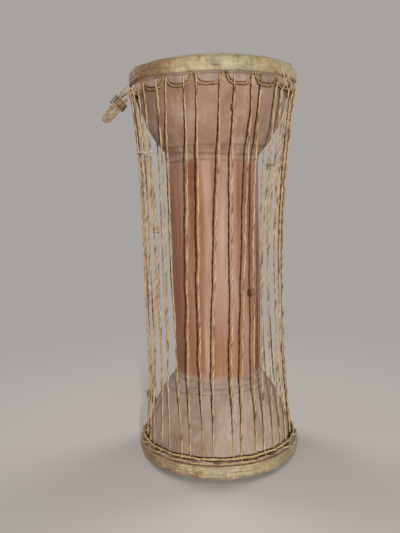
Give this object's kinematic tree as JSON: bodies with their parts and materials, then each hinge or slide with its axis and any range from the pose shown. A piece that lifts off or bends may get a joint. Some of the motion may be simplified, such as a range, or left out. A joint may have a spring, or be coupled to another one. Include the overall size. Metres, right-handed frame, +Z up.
{
  "type": "talking drum",
  "caption": "Hourglass talking drum: a carved wooden shell, hide heads lapped over hoops, and paired rawhide thongs laced between them that tighten the heads when squeezed.",
  "frame": {"origin": "centre of the lower head's outer face, where the drum stands", "axes": "+Z up along the drum's axis from the lower to the upper head; -Y is the pictured side; the tail points to -X"},
  "size_m": [0.1975, 0.1708, 0.4],
  "materials": {
    "shell_wood": "hand-carved, worn and dusty",
    "raw_hide": "dry scraped raw hide",
    "hoop_cane": "bare bound cane",
    "lapping_cord": "twisted hide cord",
    "thong_hide": "twisted raw hide",
    "tie_hide": "cut hide strip",
    "tail_cord": "twisted plant-fibre cord"
  },
  "bodies": {
    "shell": {"drum_shell": "shell_wood", "top_skin": "raw_hide", "bottom_skin": "raw_hide"},
    "top_hoop": {"top_skin_collar": "raw_hide", "top_hoop_core": "hoop_cane", "top_lapping_cord": "lapping_cord", "tail_hank": "tail_cord", "tail_lashing": "tail_cord"},
    "bottom_hoop": {"bottom_skin_collar": "raw_hide", "bottom_hoop_core": "hoop_cane", "bottom_lapping_cord": "lapping_cord"},
    "thong_01_upper": {"thong_pair_01_upper": "thong_hide", "front_splice_knot": "tie_hide"},
    "thong_01_lower": {"thong_pair_01_lower": "thong_hide"},
    "thong_02_upper": {"thong_pair_02_upper": "thong_hide"},
    "thong_02_lower": {"thong_pair_02_lower": "thong_hide", "right_loop_tie": "tie_hide"},
    "thong_03_upper": {"thong_pair_03_upper": "thong_hide", "right_whisker_tie": "tie_hide"},
    "thong_03_lower": {"thong_pair_03_lower": "thong_hide"},
    "thong_04_upper": {"thong_pair_04_upper": "thong_hide"},
    "thong_04_lower": {"thong_pair_04_lower": "thong_hide"},
    "thong_05_upper": {"thong_pair_05_upper": "thong_hide"},
    "thong_05_lower": {"thong_pair_05_lower": "thong_hide"},
    "thong_06_upper": {"thong_pair_06_upper": "thong_hide"},
    "thong_06_lower": {"thong_pair_06_lower": "thong_hide"},
    "thong_07_upper": {"thong_pair_07_upper": "thong_hide"},
    "thong_07_lower": {"thong_pair_07_lower": "thong_hide"},
    "thong_08_upper": {"thong_pair_08_upper": "thong_hide"},
    "thong_08_lower": {"thong_pair_08_lower": "thong_hide"},
    "thong_09_upper": {"thong_pair_09_upper": "thong_hide"},
    "thong_09_lower": {"thong_pair_09_lower": "thong_hide"},
    "thong_10_upper": {"thong_pair_10_upper": "thong_hide"},
    "thong_10_lower": {"thong_pair_10_lower": "thong_hide"},
    "thong_11_upper": {"thong_pair_11_upper": "thong_hide"},
    "thong_11_lower": {"thong_pair_11_lower": "thong_hide"},
    "thong_12_upper": {"thong_pair_12_upper": "thong_hide"},
    "thong_12_lower": {"thong_pair_12_lower": "thong_hide"},
    "thong_13_upper": {"thong_pair_13_upper": "thong_hide"},
    "thong_13_lower": {"thong_pair_13_lower": "thong_hide"},
    "thong_14_upper": {"thong_pair_14_upper": "thong_hide"},
    "thong_14_lower": {"thong_pair_14_lower": "thong_hide", "lower_left_knot": "tie_hide", "lower_left_stopper": "tie_hide"},
    "thong_15_upper": {"thong_pair_15_upper": "thong_hide"},
    "thong_15_lower": {"thong_pair_15_lower": "thong_hide"},
    "thong_16_upper": {"thong_pair_16_upper": "thong_hide", "left_hide_tie": "tie_hide", "left_splice_knot": "tie_hide"},
    "thong_16_lower": {"thong_pair_16_lower": "thong_hide"},
    "thong_17_upper": {"thong_pair_17_upper": "thong_hide"},
    "thong_17_lower": {"thong_pair_17_lower": "thong_hide"},
    "thong_18_upper": {"thong_pair_18_upper": "thong_hide"},
    "thong_18_lower": {"thong_pair_18_lower": "thong_hide"}
  },
  "joints": [
    {"name": "squeeze_draw", "type": "slide", "parent": "shell", "child": "top_hoop", "axis": [0, 0, -1], "range_m": [0, 0.00205], "stiffness_N_per_m": 60, "springref_m": -0.002},
    {"name": "bottom_hoop_draw", "type": "slide", "parent": "shell", "child": "bottom_hoop", "axis": [0, 0, 1], "range_m": [0, 0.00205], "stiffness_N_per_m": 60, "springref_m": -0.002},
    {"name": "thong_01_swing", "type": "hinge", "parent": "top_hoop", "child": "thong_01_upper", "pos_m": [0.01261, -0.07961, 0.3768], "axis": [0.9877, 0.1564, 0], "range_deg": [0, 7]},
    {"name": "thong_01_knee", "type": "hinge", "parent": "thong_01_upper", "child": "thong_01_lower", "pos_m": [0.01147, -0.07239, 0.1999], "axis": [0.9877, 0.1564, 0], "range_deg": [-14, 0]},
    {"name": "thong_02_swing", "type": "hinge", "parent": "top_hoop", "child": "thong_02_upper", "pos_m": [0.03908, -0.07049, 0.3768], "axis": [0.8746, 0.4848, 0], "range_deg": [0, 7]},
    {"name": "thong_02_knee", "type": "hinge", "parent": "thong_02_upper", "child": "thong_02_lower", "pos_m": [0.03554, -0.06411, 0.1999], "axis": [0.8746, 0.4848, 0], "range_deg": [-14, 0]},
    {"name": "thong_03_swing", "type": "hinge", "parent": "top_hoop", "child": "thong_03_upper", "pos_m": [0.06083, -0.05288, 0.3768], "axis": [0.6561, 0.7547, 0], "range_deg": [0, 7]},
    {"name": "thong_03_knee", "type": "hinge", "parent": "thong_03_upper", "child": "thong_03_lower", "pos_m": [0.05532, -0.04809, 0.1999], "axis": [0.6561, 0.7547, 0], "range_deg": [-14, 0]},
    {"name": "thong_04_swing", "type": "hinge", "parent": "top_hoop", "child": "thong_04_upper", "pos_m": [0.07525, -0.02888, 0.3768], "axis": [0.3584, 0.9336, 0], "range_deg": [0, 7]},
    {"name": "thong_04_knee", "type": "hinge", "parent": "thong_04_upper", "child": "thong_04_lower", "pos_m": [0.06843, -0.02627, 0.1999], "axis": [0.3584, 0.9336, 0], "range_deg": [-14, 0]},
    {"name": "thong_05_swing", "type": "hinge", "parent": "top_hoop", "child": "thong_05_upper", "pos_m": [0.08059, -0.00141, 0.3768], "axis": [0.0175, 0.9998, 0], "range_deg": [0, 7]},
    {"name": "thong_05_knee", "type": "hinge", "parent": "thong_05_upper", "child": "thong_05_lower", "pos_m": [0.07329, -0.00128, 0.1999], "axis": [0.0175, 0.9998, 0], "range_deg": [-14, 0]},
    {"name": "thong_06_swing", "type": "hinge", "parent": "top_hoop", "child": "thong_06_upper", "pos_m": [0.07621, 0.02624, 0.3768], "axis": [-0.3256, 0.9455, 0], "range_deg": [0, 7]},
    {"name": "thong_06_knee", "type": "hinge", "parent": "thong_06_upper", "child": "thong_06_lower", "pos_m": [0.0693, 0.02386, 0.1999], "axis": [-0.3256, 0.9455, 0], "range_deg": [-14, 0]},
    {"name": "thong_07_swing", "type": "hinge", "parent": "top_hoop", "child": "thong_07_upper", "pos_m": [0.06264, 0.05072, 0.3768], "axis": [-0.6293, 0.7771, 0], "range_deg": [0, 7]},
    {"name": "thong_07_knee", "type": "hinge", "parent": "thong_07_upper", "child": "thong_07_lower", "pos_m": [0.05696, 0.04613, 0.1999], "axis": [-0.6293, 0.7771, 0], "range_deg": [-14, 0]},
    {"name": "thong_08_swing", "type": "hinge", "parent": "top_hoop", "child": "thong_08_upper", "pos_m": [0.04151, 0.06909, 0.3768], "axis": [-0.8572, 0.515, 0], "range_deg": [0, 7]},
    {"name": "thong_08_knee", "type": "hinge", "parent": "thong_08_upper", "child": "thong_08_lower", "pos_m": [0.03775, 0.06283, 0.1999], "axis": [-0.8572, 0.515, 0], "range_deg": [-14, 0]},
    {"name": "thong_09_swing", "type": "hinge", "parent": "top_hoop", "child": "thong_09_upper", "pos_m": [0.01538, 0.07912, 0.3768], "axis": [-0.9816, 0.1908, 0], "range_deg": [0, 7]},
    {"name": "thong_09_knee", "type": "hinge", "parent": "thong_09_upper", "child": "thong_09_lower", "pos_m": [0.01399, 0.07195, 0.1999], "axis": [-0.9816, 0.1908, 0], "range_deg": [-14, 0]},
    {"name": "thong_10_swing", "type": "hinge", "parent": "top_hoop", "child": "thong_10_upper", "pos_m": [-0.01261, 0.07961, 0.3768], "axis": [-0.9877, -0.1564, 0], "range_deg": [0, 7]},
    {"name": "thong_10_knee", "type": "hinge", "parent": "thong_10_upper", "child": "thong_10_lower", "pos_m": [-0.01147, 0.07239, 0.1999], "axis": [-0.9877, -0.1564, 0], "range_deg": [-14, 0]},
    {"name": "thong_11_swing", "type": "hinge", "parent": "top_hoop", "child": "thong_11_upper", "pos_m": [-0.03908, 0.07049, 0.3768], "axis": [-0.8746, -0.4848, 0], "range_deg": [0, 7]},
    {"name": "thong_11_knee", "type": "hinge", "parent": "thong_11_upper", "child": "thong_11_lower", "pos_m": [-0.03554, 0.06411, 0.1999], "axis": [-0.8746, -0.4848, 0], "range_deg": [-14, 0]},
    {"name": "thong_12_swing", "type": "hinge", "parent": "top_hoop", "child": "thong_12_upper", "pos_m": [-0.06083, 0.05288, 0.3768], "axis": [-0.6561, -0.7547, 0], "range_deg": [0, 7]},
    {"name": "thong_12_knee", "type": "hinge", "parent": "thong_12_upper", "child": "thong_12_lower", "pos_m": [-0.05532, 0.04809, 0.1999], "axis": [-0.6561, -0.7547, 0], "range_deg": [-14, 0]},
    {"name": "thong_13_swing", "type": "hinge", "parent": "top_hoop", "child": "thong_13_upper", "pos_m": [-0.07525, 0.02888, 0.3768], "axis": [-0.3584, -0.9336, 0], "range_deg": [0, 7]},
    {"name": "thong_13_knee", "type": "hinge", "parent": "thong_13_upper", "child": "thong_13_lower", "pos_m": [-0.06843, 0.02627, 0.1999], "axis": [-0.3584, -0.9336, 0], "range_deg": [-14, 0]},
    {"name": "thong_14_swing", "type": "hinge", "parent": "top_hoop", "child": "thong_14_upper", "pos_m": [-0.08059, 0.00141, 0.3768], "axis": [-0.0175, -0.9998, 0], "range_deg": [0, 7]},
    {"name": "thong_14_knee", "type": "hinge", "parent": "thong_14_upper", "child": "thong_14_lower", "pos_m": [-0.07329, 0.00128, 0.1999], "axis": [-0.0175, -0.9998, 0], "range_deg": [-14, 0]},
    {"name": "thong_15_swing", "type": "hinge", "parent": "top_hoop", "child": "thong_15_upper", "pos_m": [-0.07621, -0.02624, 0.3768], "axis": [0.3256, -0.9455, 0], "range_deg": [0, 7]},
    {"name": "thong_15_knee", "type": "hinge", "parent": "thong_15_upper", "child": "thong_15_lower", "pos_m": [-0.0693, -0.02386, 0.1999], "axis": [0.3256, -0.9455, 0], "range_deg": [-14, 0]},
    {"name": "thong_16_swing", "type": "hinge", "parent": "top_hoop", "child": "thong_16_upper", "pos_m": [-0.06264, -0.05072, 0.3768], "axis": [0.6293, -0.7771, 0], "range_deg": [0, 7]},
    {"name": "thong_16_knee", "type": "hinge", "parent": "thong_16_upper", "child": "thong_16_lower", "pos_m": [-0.05696, -0.04613, 0.1999], "axis": [0.6293, -0.7771, 0], "range_deg": [-14, 0]},
    {"name": "thong_17_swing", "type": "hinge", "parent": "top_hoop", "child": "thong_17_upper", "pos_m": [-0.04151, -0.06909, 0.3768], "axis": [0.8572, -0.515, 0], "range_deg": [0, 7]},
    {"name": "thong_17_knee", "type": "hinge", "parent": "thong_17_upper", "child": "thong_17_lower", "pos_m": [-0.03775, -0.06283, 0.1999], "axis": [0.8572, -0.515, 0], "range_deg": [-14, 0]},
    {"name": "thong_18_swing", "type": "hinge", "parent": "top_hoop", "child": "thong_18_upper", "pos_m": [-0.01538, -0.07912, 0.3768], "axis": [0.9816, -0.1908, 0], "range_deg": [0, 7]},
    {"name": "thong_18_knee", "type": "hinge", "parent": "thong_18_upper", "child": "thong_18_lower", "pos_m": [-0.01399, -0.07195, 0.1999], "axis": [0.9816, -0.1908, 0], "range_deg": [-14, 0]}
  ],
  "couplings": [
    {"joint": "bottom_hoop_draw", "follows": "squeeze_draw", "ratio": 1},
    {"joint": "thong_01_swing", "follows": "squeeze_draw", "rad_per_m": 59.596},
    {"joint": "thong_01_knee", "follows": "squeeze_draw", "rad_per_m": -119.19},
    {"joint": "thong_02_swing", "follows": "squeeze_draw", "rad_per_m": 59.596},
    {"joint": "thong_02_knee", "follows": "squeeze_draw", "rad_per_m": -119.19},
    {"joint": "thong_03_swing", "follows": "squeeze_draw", "rad_per_m": 59.596},
    {"joint": "thong_03_knee", "follows": "squeeze_draw", "rad_per_m": -119.19},
    {"joint": "thong_04_swing", "follows": "squeeze_draw", "rad_per_m": 59.596},
    {"joint": "thong_04_knee", "follows": "squeeze_draw", "rad_per_m": -119.19},
    {"joint": "thong_05_swing", "follows": "squeeze_draw", "rad_per_m": 59.596},
    {"joint": "thong_05_knee", "follows": "squeeze_draw", "rad_per_m": -119.19},
    {"joint": "thong_06_swing", "follows": "squeeze_draw", "rad_per_m": 59.596},
    {"joint": "thong_06_knee", "follows": "squeeze_draw", "rad_per_m": -119.19},
    {"joint": "thong_07_swing", "follows": "squeeze_draw", "rad_per_m": 59.596},
    {"joint": "thong_07_knee", "follows": "squeeze_draw", "rad_per_m": -119.19},
    {"joint": "thong_08_swing", "follows": "squeeze_draw", "rad_per_m": 59.596},
    {"joint": "thong_08_knee", "follows": "squeeze_draw", "rad_per_m": -119.19},
    {"joint": "thong_09_swing", "follows": "squeeze_draw", "rad_per_m": 59.596},
    {"joint": "thong_09_knee", "follows": "squeeze_draw", "rad_per_m": -119.19},
    {"joint": "thong_10_swing", "follows": "squeeze_draw", "rad_per_m": 59.596},
    {"joint": "thong_10_knee", "follows": "squeeze_draw", "rad_per_m": -119.19},
    {"joint": "thong_11_swing", "follows": "squeeze_draw", "rad_per_m": 59.596},
    {"joint": "thong_11_knee", "follows": "squeeze_draw", "rad_per_m": -119.19},
    {"joint": "thong_12_swing", "follows": "squeeze_draw", "rad_per_m": 59.596},
    {"joint": "thong_12_knee", "follows": "squeeze_draw", "rad_per_m": -119.19},
    {"joint": "thong_13_swing", "follows": "squeeze_draw", "rad_per_m": 59.596},
    {"joint": "thong_13_knee", "follows": "squeeze_draw", "rad_per_m": -119.19},
    {"joint": "thong_14_swing", "follows": "squeeze_draw", "rad_per_m": 59.596},
    {"joint": "thong_14_knee", "follows": "squeeze_draw", "rad_per_m": -119.19},
    {"joint": "thong_15_swing", "follows": "squeeze_draw", "rad_per_m": 59.596},
    {"joint": "thong_15_knee", "follows": "squeeze_draw", "rad_per_m": -119.19},
    {"joint": "thong_16_swing", "follows": "squeeze_draw", "rad_per_m": 59.596},
    {"joint": "thong_16_knee", "follows": "squeeze_draw", "rad_per_m": -119.19},
    {"joint": "thong_17_swing", "follows": "squeeze_draw", "rad_per_m": 59.596},
    {"joint": "thong_17_knee", "follows": "squeeze_draw", "rad_per_m": -119.19},
    {"joint": "thong_18_swing", "follows": "squeeze_draw", "rad_per_m": 59.596},
    {"joint": "thong_18_knee", "follows": "squeeze_draw", "rad_per_m": -119.19}
  ]
}
